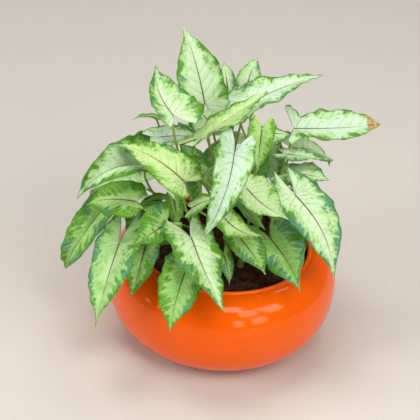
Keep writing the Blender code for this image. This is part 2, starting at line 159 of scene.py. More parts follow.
SUN_STRENGTH = 0.9
SUN_SPREAD = 22                    # degrees
SKY = (1.0, 0.97, 0.93, 1.0)
SKY_STRENGTH = 0.2
FLOOR_REACH = 15.0                 # m


def leaf(joint, tip, roll, wide, bend, fold, look, **more):
    """One blade, as in part.py. look is how pale its middle is, how wide its green edge is, and how
    yellow and how blue-green it is, each from 0 to 1."""
    plain = dict(sweep=0.0, twist=0, lobe=0.32, splay=0.0, left=1.0, full=0.7, spread=False, dry=0.0)
    return dict(plain, joint=joint, tip=tip, roll=roll, wide=wide, bend=bend, fold=fold, look=look,
                **more)


# The same blades as in part.py, with their looks. Most of their places, turns and bends are the rounded
# output of scratch scripts, which fitted the visible blades to outlines read from the photograph and
# then moved blades apart, the rear ones too. They weren't placed by eye.
# Their looks are partly the leaves' own variegation and partly painted shade and light: some inner leaves
# get a low pale share and a wide green edge, so they show darker green as painted shade, and
# leaf_centre_behind gets a high pale share as painted light against the shade of the leaves above it.
LEAVES = {
    "leaf_top_centre": leaf((-19, 22, 164), (-37, 45, 210), 10, 0.32, 30, (15, 8),
        (0.9, 0.26, 0.12, 0.15), twist=-10, lobe=0.28, full=1.0),
    "leaf_top_left": leaf((-39, -6, 169), (-53, 27, 188), -5, 0.40, -20, (26, 30),
        (0.85, 0.38, 0.08, 0.3), sweep=0.08, left=0.75, full=0.2),
    "leaf_rear_left_thin": leaf((-51, 22, 151), (-67, 20, 150), -10, 0.30, 45, (24, 18),
        (0.35, 0.6, 0.4, 0.1)),
    "leaf_arching_left": leaf((-56, -3, 124), (-98, -34, 118), 15, 0.44, 120, (45, 50),
        (0.9, 0.36, 0.08, 0.2), twist=-30, full=0.0),
    "leaf_yellow_left": leaf((-29, -36, 138), (-73, -16, 150), 20, 0.31, 60, (20, 22),
        (0.8, 0.3, 0.55, 0), twist=-10, lobe=0.16, full=0.2),
    # painted shade: pale share set low and green edge wide, so this inner leaf shows darker green
    "leaf_inner_left": leaf((-35, -29, 119), (-32, -36, 103), -5, 0.36, 45, (20, 18),
        (0.25, 0.8, 0.2, 0.1)),
    # partly its own dark green, partly painted shade: pale share set low and green edge wide
    "leaf_middle_left": leaf((-39, -45, 110), (-58, -67, 108), 25, 0.42, -25, (6, 24),
        (0.4, 0.85, 0.2, 0.2), twist=-10, left=0.78),
    "leaf_front_centre": leaf((-22, -54, 107), (2, -96, 80), 5, 0.32, 40, (5, 15),
        (0.85, 0.4, 0.2, 0.15), sweep=-0.07, twist=-5),
    "leaf_front_low": leaf((-24, -64, 88), (-32, -89, 56), 0, 0.36, 45, (18, 20),
        (0.2, 0.6, 0.3, 0.2), full=1.0),
    "leaf_front_left_low": leaf((-52, -45, 91), (-59, -66, 64), 5, 0.30, 35, (20, 20),
        (0.3, 0.65, 0.2, 0.3), sweep=0.03),
    "leaf_left_low": leaf((-69, -42, 91), (-80, -87, 55), -5, 0.29, 20, (30, 12),
        (0.45, 0.45, 0.1, 0.5), twist=10, lobe=0.42, splay=-0.2, left=1.1, full=1.0),
    "leaf_far_left": leaf((-84, -2, 91), (-108, -17, 49), 30, 0.25, 120, (42, 32),
        (0.35, 0.7, 0.25, 0.3), sweep=0.07, twist=-10, full=1.1),
    "leaf_left_middle": leaf((-60, -31, 117), (-93, -21, 106), 15, 0.40, 40, (8, 24),
        (0.5, 0.7, 0.45, 0.1), twist=-15, lobe=0.2, splay=-0.4, full=1.2),
    "leaf_left_strip": leaf((-44, -20, 112), (-59, -21, 106), 15, 0.35, 55, (12, 22),
        (0.3, 0.7, 0.2, 0.2)),
    # painted shade: pale share set low and green edge wide, so this inner leaf shows darker green
    "leaf_left_shaded": leaf((-60, -25, 101), (-60, -28, 82), 10, 0.39, 65, (18, 24),
        (0.2, 0.8, 0.15, 0.3), full=1.0),
    "leaf_centre_pale": leaf((2, -34, 160), (-15, -65, 114), 25, 0.25, 90, (45, 38),
        (1, 0.15, 0.05, 0.35), sweep=0.06, lobe=0.26, full=0.4),
    "leaf_right_folded": leaf((19, -14, 167), (18, -25, 142), 0, 0.33, 55, (22, 20),
        (0.4, 0.5, 0.6, 0)),
    "leaf_top_yellow": leaf((-17, -12, 160), (22, 18, 178), 25, 0.36, 0, (12, 18),
        (0.85, 0.3, 0.5, 0.1), twist=20, left=0.86),
    "leaf_top_right_long": leaf((9, 30, 162), (60, 52, 177), -7, 0.26, 15, (22, 20),
        (0.95, 0.24, 0.1, 0.4), splay=0.5, full=0.5),
    "leaf_rear_top": leaf((-4, 59, 156), (-8, 76, 170), 5, 0.32, 40, (20, 20), (0.75, 0.3, 0.05, 0.5)),
    "leaf_rear_top_right": leaf((8, 51, 160), (15, 74, 176), -5, 0.31, 50, (22, 18),
        (0.75, 0.35, 0.05, 0.45)),
    "leaf_far_right": leaf((42, 20, 151), (100, 25, 156), -15, 0.23, -12, (30, 20),
        (0.95, 0.22, 0.05, 0.4), twist=10, lobe=0.1, spread=True, dry=0.19),
    "leaf_right_inner": leaf((24, 9, 152), (41, 16, 148), -20, 0.38, 10, (17, 6),
        (0.7, 0.45, 0.05, 0.55), left=0.8),
    "leaf_right_upper": leaf((37, 2, 141), (60, -8, 145), 0, 0.34, 0, (14, 14),
        (0.75, 0.4, 0.05, 0.6), twist=12),
    "leaf_right_middle": leaf((40, -6, 131), (65, -26, 140), -10, 0.38, 15, (10, 6),
        (0.8, 0.4, 0.1, 0.5), twist=15, full=1.1),
    "leaf_right_front": leaf((43, -34, 132), (72, -60, 86), -25, 0.27, 35, (12, 20),
        (0.85, 0.38, 0.05, 0.55), sweep=0.08, twist=15, splay=-0.5),
    "leaf_centre_right": leaf((12, -34, 134), (39, -56, 127), -10, 0.35, -15, (25, 15),
        (0.85, 0.2, 0.3, 0.05), sweep=-0.05, twist=15, lobe=0.24, splay=-0.4, left=1.14, full=1.2),
    "leaf_centre_shaded": leaf((8, -30, 120), (26, -30, 101), -5, 0.35, 0, (20, 18),
        (0.3, 0.6, 0.05, 0.65), twist=10),
    "leaf_front_small": leaf((-1, -40, 114), (23, -57, 114), -20, 0.30, -20, (22, 12),
        (0.75, 0.4, 0.5, 0.1), sweep=-0.1, twist=10, full=0.3),
    "leaf_front_right": leaf((10, -36, 97), (28, -56, 83), 0, 0.38, 15, (18, 14),
        (0.35, 0.65, 0.25, 0.3), twist=10, full=1.2),
    "leaf_right_low": leaf((30, -31, 95), (50, -74, 84), -25, 0.35, -5, (28, 18),
        (0.2, 0.65, 0.05, 0.6), sweep=0.05, twist=25, left=1.2, full=1.3),
    "leaf_inner_dark": leaf((0, -38, 84), (5, -48, 67), 5, 0.28, 30, (17, 22), (0.15, 0.75, 0.05, 0.5)),
    # partly its own pale colour, partly painted light: pale share set high against the shade of the
    # leaves above
    "leaf_centre_behind": leaf((-28, -6, 130), (-7, -17, 134), -25, 0.38, 5, (25, 10),
        (0.8, 0.5, 0.3, 0.1), twist=15, full=1.0),
    "leaf_centre_left": leaf((-22, -40, 121), (-7, -48, 134), -25, 0.36, 20, (15, 5),
        (0.65, 0.45, 0.35, 0.1), twist=10, full=1.0),
    "leaf_centre_edge": leaf((-14, -22, 134), (-5, -18, 144), 10, 0.30, 50, (16, 20),
        (0.6, 0.5, 0.3, 0.1)),
    "leaf_upper_white": leaf((-47, -2, 150), (-19, 11, 143), -5, 0.35, 40, (15, 16),
        (1, 0.2, 0.05, 0.35), sweep=-0.05, twist=15),
    "leaf_inside_left": leaf((-18, 5, 112), (-36, 20, 136), 0, 0.44, 30, (15, 15),
        (0.2, 0.75, 0.2, 0.2)),
    "leaf_inside_right": leaf((13, 6, 114), (28, 23, 138), 0, 0.44, 30, (15, 15),
        (0.2, 0.75, 0.25, 0.2)),
    "leaf_inside_high": leaf((-11, 22, 110), (-4, 30, 138), 0, 0.40, 30, (15, 15),
        (0.3, 0.65, 0.25, 0.2)),
    "leaf_rear_left": leaf((-42, 36, 122), (-76, 64, 93), 20, 0.34, 30, (20, 18),
        (0.7, 0.4, 0.15, 0.3)),
    "leaf_rear_mid_left": leaf((-16, 58, 122), (-30, 102, 93), -2, 0.34, 45, (20, 18),
        (0.8, 0.35, 0.3, 0.2)),
    "leaf_rear_mid_right": leaf((16, 51, 121), (28, 95, 90), 10, 0.34, 45, (20, 18),
        (0.65, 0.45, 0.15, 0.35), sweep=0.03),
    "leaf_rear_right": leaf((46, 39, 125), (74, 66, 97), -15, 0.34, 45, (20, 18),
        (0.75, 0.35, 0.1, 0.4)),
    "leaf_rear_far_left": leaf((-62, 14, 104), (-98, 34, 78), 6, 0.34, 45, (20, 18),
        (0.55, 0.5, 0.15, 0.3), sweep=-0.03),
    "leaf_rear_far_right": leaf((50, 18, 106), (78, 30, 76), -8, 0.34, 45, (20, 18),
        (0.6, 0.5, 0.1, 0.4)),
    "leaf_rear_high": leaf((-14, 40, 138), (-24, 84, 122), 2, 0.34, 45, (20, 18),
        (0.85, 0.3, 0.4, 0.1), sweep=0.03),
    "leaf_rear_high_right": leaf((26, 24, 116), (31, 41, 142), 0, 0.36, 30, (15, 15),
        (0.75, 0.35, 0.2, 0.3)),
    "leaf_rear_low_left": leaf((-26, 56, 98), (-38, 92, 66), -10, 0.34, 45, (20, 18),
        (0.4, 0.55, 0.1, 0.35)),
    "leaf_rear_low": leaf((8, 56, 98), (10, 96, 62), 15, 0.34, 35, (20, 18), (0.45, 0.5, 0.15, 0.3)),
    "leaf_rear_low_right": leaf((38, 49, 96), (60, 76, 68), -5, 0.34, 45, (20, 18),
        (0.35, 0.55, 0.1, 0.4)),
}

# A blade is a loft of two halves. Each half runs from an inner edge (lobe tip, sinus, joint, midrib,
# tip) to an outer edge. The first number is along the blade, as a share of its length in front of the
# joint and of the lobe's length behind it; the second is across, as a share of the half width.
OUTER = ((-1.0, 0.60), (-0.72, 0.84), (-0.30, 0.98), (0.10, 1.0), (0.31, 0.86), (0.51, 0.64),
         (0.70, 0.38), (0.86, 0.15), (1.0, 0.0))
INNER = ((-1.0, 0.60), (-0.70, 0.33), (-0.35, 0.13), (0.0, 0.0), (0.16, 0.0), (0.36, 0.0),
         (0.58, 0.0), (0.79, 0.0), (1.0, 0.0))
FULLER = (0, 0, 0, 0, 0.11, 0.17, 0.10, 0, 0)
# One blade has lobes that stand out sideways
OUTER_SPREAD = ((-1.0, 1.15), (-0.5, 1.42), (0.0, 1.10), (0.09, 0.74), (0.31, 0.95), (0.51, 1.0),
                (0.70, 0.85), (0.86, 0.50), (1.0, 0.0))
INNER_SPREAD = ((-1.0, 1.15), (-0.7, 0.80), (-0.35, 0.38), (0.0, 0.0), (0.16, 0.0), (0.36, 0.0),
                (0.58, 0.0), (0.79, 0.0), (1.0, 0.0))


def bowl(radius, base, mouth, low, high, widest, n_low, n_high):
    """Points of the bowl's side from the base edge up to the mouth."""
    pts = []
    for i in range(n_low + 1):
        a = math.pi / 2 * i / n_low
        pts.append((base + (radius - base) * math.sin(a) ** LOWER_ROUND,
                    low + (widest - low) * (1 - math.cos(a) ** LOWER_ROUND)))
    for i in range(1, n_high + 1):
        a = math.pi / 2 * i / n_high
        pts.append((mouth + (radius - mouth) * math.cos(a), widest + (high - widest) * math.sin(a)))
    return pts


def smooth(points, rows):
    """Points on a smooth curve through the given points."""
    p = np.array(points, float)
    t = np.linspace(0, len(p) - 1, rows)
    i = np.minimum(t.astype(int), len(p) - 2)
    f = (t - i)[:, None]
    a = p[np.maximum(i - 1, 0)]
    b = p[i]
    c = p[i + 1]
    d = p[np.minimum(i + 2, len(p) - 1)]
    return 0.5 * (2 * b + (c - a) * f + (2 * a - 5 * b + 4 * c - d) * f ** 2
                  + (3 * b - a - 3 * c + d) * f ** 3)


def midrib(length, bend):
    """Arc of the midrib in its own plane, bending more towards the tip; it ends on the chord."""
    x = np.linspace(0, 1, 49)
    ang = -math.radians(bend) * x ** 1.2
    mid = (ang[1:] + ang[:-1]) / 2
    px = np.concatenate([[0], np.cumsum(np.cos(mid))])
    pz = np.concatenate([[0], np.cumsum(np.sin(mid))])
    span = math.hypot(px[-1], pz[-1])
    turn = -math.atan2(pz[-1], px[-1])
    c = math.cos(turn)
    s = math.sin(turn)
    return x, (c * px - s * pz) * length / span, (s * px + c * pz) * length / span, ang + turn


def axes(leaf):
    """Joint, length, chord, normal and left side of a blade."""
    joint = np.array(leaf["joint"], float)
    chord = np.array(leaf["tip"], float) - joint
    length = float(np.linalg.norm(chord))
    d = chord / length
    up = np.array([0.0, 0.0, 1.0]) - d[2] * d
    up /= np.linalg.norm(up)
    r = math.radians(leaf["roll"])
    n = up * math.cos(r) + np.cross(up, d) * math.sin(r)
    return joint, length, d, n, np.cross(n, d)


def blade_sheet(leaf, rows, cols):
    """Both halves of a blade: points (mm), flat places (across, along, mm), share to the edge."""
    joint, length, d, n, s = axes(leaf)
    wide = leaf["wide"] * length
    lobe = leaf["lobe"] * length
    mx, mu, mw, ma = midrib(length, leaf["bend"])
    spread = leaf["spread"]
    fuller = 0.0 if spread else leaf["full"]
    edge = OUTER_SPREAD if spread else OUTER
    out = smooth([(a, b + fuller * g) for (a, b), g in zip(edge, FULLER)], rows)
    inn = smooth(INNER_SPREAD if spread else INNER, rows)
    inn[:, 1] = np.where(inn[:, 0] >= -1e-6, 0, np.maximum(inn[:, 1], 0))
    out[:, 1] = np.maximum(out[:, 1], inn[:, 1])
    # the columns lie closer together towards the edge
    c = np.linspace(0, 1, cols)[None, :, None]
    c = c * (1.25 - 0.25 * c)
    grid = inn[:, None, :] * (1 - c) + out[:, None, :] * c
    along = grid[..., 0]
    x = np.clip(along, 0, 1)
    behind = np.clip(-along, 0, None)
    ang = np.interp(x, mx, ma)
    pu = np.interp(x, mx, mu) - behind * lobe * np.cos(ang)
    pw = np.interp(x, mx, mw) - behind * lobe * np.sin(ang)
    turn = math.radians(leaf["twist"]) * x
    sweep = leaf["sweep"] * length * np.sin(math.pi * x)
    t = np.linspace(0, 1, rows)[:, None]
    across = c[..., 0] + np.zeros((rows, 1))
    halves = []
    for k, side in ((0, 1.0), (1, -1.0)):
        half = wide * (leaf["left"] if k == 0 else 2 - leaf["left"])
        v = grid[..., 1] * half * (1 + leaf["splay"] * np.clip(-along, 0, 1))
        v = v * (1 + uneven_edge(t, leaf["seed"] + k) * across ** 3)
        fold = math.radians(leaf["fold"][k])
        curl = BLADE_CURL / half
        pv = (np.sin(fold) - np.sin(fold - curl * v)) / curl
        ph = (np.cos(fold - curl * v) - np.cos(fold)) / curl
        wave = np.sin(math.tau * (2.6 * t + 0.37 * k)) * np.sqrt(np.sin(math.pi * t).clip(0, 1))
        ph = ph + BLADE_WAVE * half * across ** 2 * wave
        flat = np.stack([side * v, np.where(along > 0, along * length, along * lobe)], -1)
        ph = ph + relief(flat, across, length, leaf["seed"])
        qv = side * pv * np.cos(turn) - ph * np.sin(turn) + sweep
        qw = side * pv * np.sin(turn) + ph * np.cos(turn)
        pts = (joint + (pu - qw * np.sin(ang))[..., None] * d + qv[..., None] * s
               + (pw + qw * np.cos(ang))[..., None] * n)
        halves.append((pts, flat, across))
    return halves


def uneven_edge(t, seed):
    """How much wider or narrower the outline is at t, from lobe tip to tip, as a share of the width."""
    return (0.035 * np.sin(math.tau * 4.3 * t + 5 * seed)
            + 0.022 * np.sin(math.tau * 9.1 * t + 11 * seed)
            + 0.012 * np.sin(math.tau * 17.0 * t + 3 * seed))


def vein_count(flat, length):
    """A number that is whole on each side vein: veins leave the midrib and bow to the tip, and round the
    joint they fan out into the lobe."""
    a = np.abs(flat[..., 0])
    b = flat[..., 1]
    root = b - VEIN_SLOPE * a - VEIN_BOW * a * a / length
    fan = np.degrees(np.arctan2(a, b)) - math.degrees(math.atan(1 / VEIN_SLOPE))
    return np.where(root > 0, VEINS * root / length, -fan / VEIN_FAN)


def relief(flat, across, length, seed):
    """How far the surface stands off the plain blade, mm: hollows on the veins, puffs between them,
    and uneven waves that grow to the edge."""
    a = np.abs(flat[..., 0])
    size = min(1.0, length / FULL_SIZE)
    away = 1 - np.exp(-(a / 2.5) ** 2)
    puff = 0.5 - 0.5 * np.cos(math.tau * vein_count(flat, length))
    h = size * PUFF * (puff ** 0.6 - 0.5) * away * (1 - across ** 4)
    h = h - MIDRIB_GROOVE * size * np.exp(-(a / (0.9 * size)) ** 2)
    x, y = flat[..., 0] / 10 + 3.1 * seed, flat[..., 1] / 10 - 1.7 * seed
    wave = np.sin(1.9 * x + 0.8 * np.sin(1.3 * y)) * np.cos(1.6 * y + seed)
    h = h + size * SURFACE_WAVE * wave * across
    return h + size * EDGE_RUFFLE * across ** 3 * np.sin(5.6 * y + 2.2 * np.sin(1.1 * y + seed) + x)


def new_object(name, me):
    ob = bpy.data.objects.new(name, me)
    bpy.context.scene.collection.objects.link(ob)
    return ob


def finish_mesh(bm, name, mat):
    """A smooth-shaded object from a bmesh."""
    bmesh.ops.recalc_face_normals(bm, faces=bm.faces)
    for f in bm.faces:
        f.smooth = True
    me = bpy.data.meshes.new(name)
    bm.to_mesh(me)
    bm.free()
    me.materials.append(mat)
    return new_object(name, me)


def blade_points(leaf):
    """A blade's vertices in m, its faces, each vertex's place in the pattern (across and along in mm,
    and a number for the leaf) and its form (share to the edge, vein count, share of the length)."""
    length = axes(leaf)[1]
    verts, spots, forms, faces = [], [], [], []
    places = {}
    for side, (pts, flat, across) in enumerate(blade_sheet(leaf, BLADE_ROWS, BLADE_COLS)):
        count = vein_count(flat, length)
        ids = np.zeros(pts.shape[:2], int)
        for i in range(BLADE_ROWS):
            for j in range(BLADE_COLS):
                key = tuple(np.round(pts[i, j], 3))
                if key not in places:
                    places[key] = len(verts)
                    verts.append(pts[i, j] * MM)
                    spots.append((flat[i, j, 0], flat[i, j, 1], leaf["seed"] * PATTERN_STEP))
                    forms.append((across[i, j], count[i, j], flat[i, j, 1] / length))
                ids[i, j] = places[key]
        for i in range(BLADE_ROWS - 1):
            for j in range(BLADE_COLS - 1):
                ring = [ids[i, j], ids[i + 1, j], ids[i + 1, j + 1], ids[i, j + 1]]
                ring = [v for k, v in enumerate(ring) if v != ring[k - 1]]
                if len(set(ring)) > 2:
                    faces.append(ring[::-1] if side else ring)
    return verts, faces, spots, forms


def store(me, label, kind, values):
    """Put one value for each vertex into a mesh, for its material to read."""
    field = "vector" if kind == "FLOAT_VECTOR" else "value"
    put = me.attributes.new(label, kind, "POINT")
    put.data.foreach_set(field, np.array(values, np.float32).ravel())


def make_leaf(name, leaf, top, under):
    verts, faces, spots, forms = blade_points(leaf)
    me = bpy.data.meshes.new(name)
    me.from_pydata([tuple(v) for v in verts], [], [[int(v) for v in f] for f in faces])
    me.polygons.foreach_set("use_smooth", [True] * len(me.polygons))
    pale = np.full(len(verts), leaf["look"][0], np.float32)
    dry = 0 * pale
    if leaf["dry"]:
        dry = np.clip((np.array(forms)[:, 2] - 1 + leaf["dry"]) / DRY_FADE, 0, 1)
    store(me, "leaf_spot", "FLOAT_VECTOR", spots)
    store(me, "leaf_form", "FLOAT_VECTOR", forms)
    store(me, "leaf_tint", "FLOAT_VECTOR", [leaf["look"][1:]] * len(verts))
    store(me, "leaf_pale", "FLOAT", pale)
    store(me, "leaf_dry", "FLOAT", dry)
    me.materials.append(top)
    me.materials.append(under)
    ob = new_object(name + "_blade", me)
    thick = ob.modifiers.new("Thickness", "SOLIDIFY")
    thick.thickness = BLADE_THICK * MM
    thick.offset = 0.0
    thick.use_even_offset = False
    thick.material_offset = 1
    thick.material_offset_rim = 1
    return ob


class Nodes:
    """Short calls for building a material's nodes."""

    def __init__(self, name, rough):
        self.mat = bpy.data.materials.new(name)
        self.mat.use_nodes = True
        self.tree = self.mat.node_tree
        self.shader = self.tree.nodes["Principled BSDF"]
        self.put(self.shader.inputs["Roughness"], rough)

    def put(self, socket, value):
        if isinstance(value, bpy.types.NodeSocket):
            self.tree.links.new(value, socket)
        elif isinstance(value, tuple) and socket.type == "RGBA":
            socket.default_value = (*value, 1.0)
        else:
            socket.default_value = value

    def math(self, kind, a, b=0.0):
        node = self.tree.nodes.new("ShaderNodeMath")
        node.operation = kind
        for socket, value in zip(node.inputs, (a, b)):
            self.put(socket, value)
        return node.outputs[0]

    def plus(self, a, b):
        return self.math("ADD", a, b)

    def minus(self, a, b):
        return self.math("SUBTRACT", a, b)

    def times(self, a, b):
        return self.math("MULTIPLY", a, b)

    def mix(self, share, a, b):
        node = self.tree.nodes.new("ShaderNodeMix")
        node.data_type = "RGBA"
        self.put(node.inputs[0], share)
        self.put(node.inputs[6], a)
        self.put(node.inputs[7], b)
        return node.outputs[2]

    def step(self, value, low, high, a=0.0, b=1.0):
        """a below low, b above high, smooth between."""
        node = self.tree.nodes.new("ShaderNodeMapRange")
        node.interpolation_type = "SMOOTHSTEP"
        for socket, v in zip(node.inputs, (value, low, high, a, b)):
            self.put(socket, v)
        return node.outputs[0]

    def attribute(self, name):
        node = self.tree.nodes.new("ShaderNodeAttribute")
        node.attribute_name = name
        return node.outputs

    def split(self, vector):
        node = self.tree.nodes.new("ShaderNodeSeparateXYZ")
        self.put(node.inputs[0], vector)
        return node.outputs

    def join(self, x, y, z):
        node = self.tree.nodes.new("ShaderNodeCombineXYZ")
        for socket, v in zip(node.inputs, (x, y, z)):
            self.put(socket, v)
        return node.outputs[0]

    def place(self):
        return self.tree.nodes.new("ShaderNodeTexCoord").outputs["Object"]

    def noise(self, vector, scale, detail=3.0, rough=0.55, warp=0.0):
        node = self.tree.nodes.new("ShaderNodeTexNoise")
        self.put(node.inputs["Vector"], vector)
        node.inputs["Scale"].default_value = scale
        node.inputs["Detail"].default_value = detail
        node.inputs["Roughness"].default_value = rough
        node.inputs["Distortion"].default_value = warp
        return node.outputs[0]

    def cells(self, vector, scale, kind="F1"):
        """Distance from the middle of the nearest cell, or from its edge."""
        node = self.tree.nodes.new("ShaderNodeTexVoronoi")
        node.feature = kind
        self.put(node.inputs["Vector"], vector)
        node.inputs["Scale"].default_value = scale
        return node.outputs["Distance"]

    def bump(self, height, strength, depth):
        node = self.tree.nodes.new("ShaderNodeBump")
        node.inputs["Strength"].default_value = strength
        node.inputs["Distance"].default_value = depth
        self.put(node.inputs["Height"], height)
        self.put(self.shader.inputs["Normal"], node.outputs[0])

    def colour(self, value):
        self.put(self.shader.inputs["Base Color"], value)

    def shine(self, level, tint=(1.0, 1.0, 1.0)):
        self.put(self.shader.inputs["Specular IOR Level"], level)
        self.put(self.shader.inputs["Specular Tint"], tint)


def leaf_fields(k):
    """What a blade's colours are worked out from: its stored places and looks, and noise over it."""
    f = SimpleNamespace()
    f.spot = k.attribute("leaf_spot")["Vector"]
    f.x, f.y, f.seed = k.split(f.spot)
    f.edge, f.count, f.along = k.split(k.attribute("leaf_form")["Vector"])
    f.green_edge, f.yellow, f.teal = k.split(k.attribute("leaf_tint")["Vector"])
    f.pale = k.attribute("leaf_pale")["Fac"]
    f.dry = k.attribute("leaf_dry")["Fac"]
    # distance from the nearest side vein, as a share of the gap between two
    part = k.math("FRACT", f.count)
    f.near = k.math("MINIMUM", part, k.minus(1.0, part))
    f.blotch = k.noise(f.spot, 0.11, 2.0, 0.5, 0.8)
    f.mottle = k.noise(f.spot, 0.5, 4.0, 0.65, 0.4)
    along_veins = k.join(k.times(f.count, 3.4), k.times(f.edge, 2.6), f.seed)
    f.streak = k.noise(along_veins, 1.0, 3.0, 0.6)
    patches = k.join(k.times(f.x, 0.8), f.y, k.plus(f.seed, 11.0))
    f.blue = k.step(k.plus(k.noise(patches, 0.08, 2.0, 0.5), k.times(f.teal, 0.4)), 0.6, 0.74)
    return f


def green_border(k, f):
    """Shares of the green border and of the lighter band inside it. The blotches make the border wide or
    narrow, and it is drawn back along the side veins."""
    reach = k.plus(f.edge, k.times(k.minus(f.blotch, 0.5), 1.5))
    reach = k.plus(reach, k.times(k.minus(f.streak, 0.5), 0.9))
    reach = k.minus(reach, k.times(k.step(f.near, 0.0, 0.4, 1.0, 0.0), 0.10))
    past = k.minus(reach, k.minus(1.04, k.times(f.green_edge, 0.85)))
    border = k.step(past, -0.16, 0.19)
    band = k.times(k.step(past, -0.5, -0.05), k.step(past, 0.02, 0.24, 1.0, 0.0))
    return border, band


def blade_ground(k, f, border, band):
    """The pale middle, the green and blue-green border, and what lies between."""
    mint = k.mix(f.mottle, *MINT)
    mint = k.mix(k.step(f.pale, 0.85, 1.0), mint, MINT_WHITE)
    mint = k.mix(k.times(f.yellow, 0.9), mint, MINT_YELLOW)
    paleness = k.step(k.plus(f.pale, k.minus(f.blotch, 0.5)), 0.15, 0.8)
    middle = k.mix(paleness, k.mix(f.mottle, *DULL), mint)
    middle = k.mix(k.times(band, 0.75), middle, k.mix(f.mottle, *BAND))
    green = k.mix(f.mottle, *GREEN)
    green = k.mix(k.times(f.yellow, 0.45), green, YELLOW_GREEN)
    green = k.mix(k.times(f.blue, 0.9), green, k.mix(f.mottle, *TEAL))
    colour = k.mix(k.times(border, 0.96), middle, green)
    deep = k.times(k.step(f.mottle, 0.5, 0.66), k.step(f.streak, 0.4, 0.56))
    return k.mix(k.times(k.times(deep, border), 0.75), colour, DEEP_GREEN)


def dark_flecks(k, f, colour):
    """Long spots of darker green between the side veins, more of them towards the edge."""
    cell = k.cells(k.join(k.times(f.count, 2.0), k.times(f.edge, 5.0), f.seed), 1.0)
    fleck = k.step(k.plus(cell, k.times(k.minus(f.mottle, 0.5), 0.5)), 0.13, 0.3, 1.0, 0.0)
    fleck = k.times(fleck, k.step(k.plus(f.edge, k.minus(f.blotch, 0.5)), 0.2, 0.65))
    return k.mix(k.times(fleck, 0.72), colour, k.mix(f.blue, FLECK_GREEN, FLECK_TEAL))


def side_veins(k, f, colour, vein, border):
    """A pale net on green, a faint green line on the pale middle, and a green rim."""
    net = k.step(k.cells(f.spot, 0.42, "DISTANCE_TO_EDGE"), 0.02, 0.16, 1.0, 0.0)
    net = k.times(net, k.step(f.pale, 0.3, 0.75, 0.24, 0.04))
    colour = k.mix(net, colour, NET)
    on_green = k.mix(0.62, colour, VEIN_ON_GREEN)
    on_pale = k.mix(0.45, colour, VEIN_ON_PALE)
    greenish = k.math("MAXIMUM", border, k.step(f.pale, 0.45, 0.7, 1.0, 0.0))
    colour = k.mix(k.times(vein, 0.8), colour, k.mix(greenish, on_pale, on_green))
    return k.mix(k.times(k.step(f.edge, 0.9, 1.0), 0.7), colour, RIM)


def dark_ribs(k, f, colour):
    """Midrib and the first veins at the joint: dark pink-brown, fading to the tip."""
    width = k.step(f.along, 0.0, 0.95, 0.85, 0.28)
    rib = k.step(k.math("DIVIDE", k.math("ABSOLUTE", f.x), width), 0.35, 1.0, 1.0, 0.0)
    rib = k.times(rib, k.step(f.along, -0.02, 0.01))
    rib = k.times(rib, k.step(f.along, 0.55, 0.97, 1.0, 0.3))
    from_joint = k.math("SQRT", k.plus(k.times(f.x, f.x), k.times(f.y, f.y)))
    fan = k.times(k.step(f.near, 0.01, 0.09, 1.0, 0.0), k.step(from_joint, 2.0, 15.0, 0.8, 0.0))
    fan = k.times(fan, k.step(from_joint, 0.8, 1.6))
    share = k.math("MAXIMUM", k.times(rib, 0.9), k.times(fan, 0.7))
    return k.mix(share, colour, k.mix(k.step(f.along, 0.05, 0.7), *RIB))


def brown_marks(k, f, colour):
    """A few small specks, and a dry tip where a leaf has one."""
    speck = k.step(k.cells(f.spot, 0.14), 0.05, 0.1, 1.0, 0.0)
    speck = k.times(speck, k.step(k.noise(f.spot, 0.05), 0.56, 0.6))
    colour = k.mix(k.times(speck, 0.7), colour, SPECK)
    dry = k.step(k.plus(f.dry, k.minus(f.mottle, 0.5)), 0.35, 0.6)
    return k.mix(k.times(dry, 0.9), colour, k.mix(k.step(f.mottle, 0.4, 0.6), *DRY))


def leaf_pattern(k):
    """The colours of a blade's upper side, the height of its veins and cells, and its mottle."""
    f = leaf_fields(k)
    vein = k.step(f.near, 0.02, k.minus(0.18, k.times(f.pale, 0.09)), 1.0, 0.0)
    vein = k.times(vein, k.step(f.edge, 0.6, 0.95, 1.0, 0.15))
    border, band = green_border(k, f)
    colour = blade_ground(k, f, border, band)
    colour = dark_flecks(k, f, colour)
    colour = side_veins(k, f, colour, vein, border)
    colour = dark_ribs(k, f, colour)
    colour = brown_marks(k, f, colour)
    height = k.plus(k.times(vein, -0.6), k.times(k.cells(f.spot, 2.2), 0.35))
    return colour, height, f.mottle


def leaf_top():
    k = Nodes("leaf_upper", 0.42)
    colour, height, mottle = leaf_pattern(k)
    k.colour(colour)
    k.put(k.shader.inputs["Roughness"], k.step(mottle, 0.2, 0.8, 0.36, 0.5))
    k.shine(0.24, (0.9, 1.0, 0.7))
    k.bump(height, 0.35, 0.0004)
    return k.mat


def leaf_under():
    """The lower side: matt, paler and more even, with its veins standing out."""
    k = Nodes("leaf_lower", 0.6)
    colour, height, mottle = leaf_pattern(k)
    k.colour(k.mix(0.62, colour, k.mix(mottle, *UNDERSIDE)))
    k.shine(0.3)
    k.bump(k.times(height, -1.0), 0.35, 0.0004)
    return k.mat


def stalk_material():
    """Green with a pinkish share that grows with height, and brown where it leaves the soil."""
    k = Nodes("stalk", 0.42)
    place = k.place()
    z = k.split(place)["Z"]
    fine = k.noise(place, 900.0, 3.0)
    broad = k.noise(place, 60.0, 2.0)
    share = k.step(k.plus(z, k.times(k.minus(broad, 0.5), 0.12)), 0.085, 0.15)
    colour = k.mix(k.times(share, 0.5), k.mix(broad, *STALK_GREEN), k.mix(fine, *STALK_PINK))
    colour = k.mix(k.step(z, 0.062, 0.072, 0.7, 0.0), colour, STALK_FOOT)
    k.colour(k.mix(k.step(fine, 0.55, 0.8, 0.0, 0.35), colour, STALK_GRAIN))
    k.bump(fine, 0.25, 0.0003)
    return k.mat


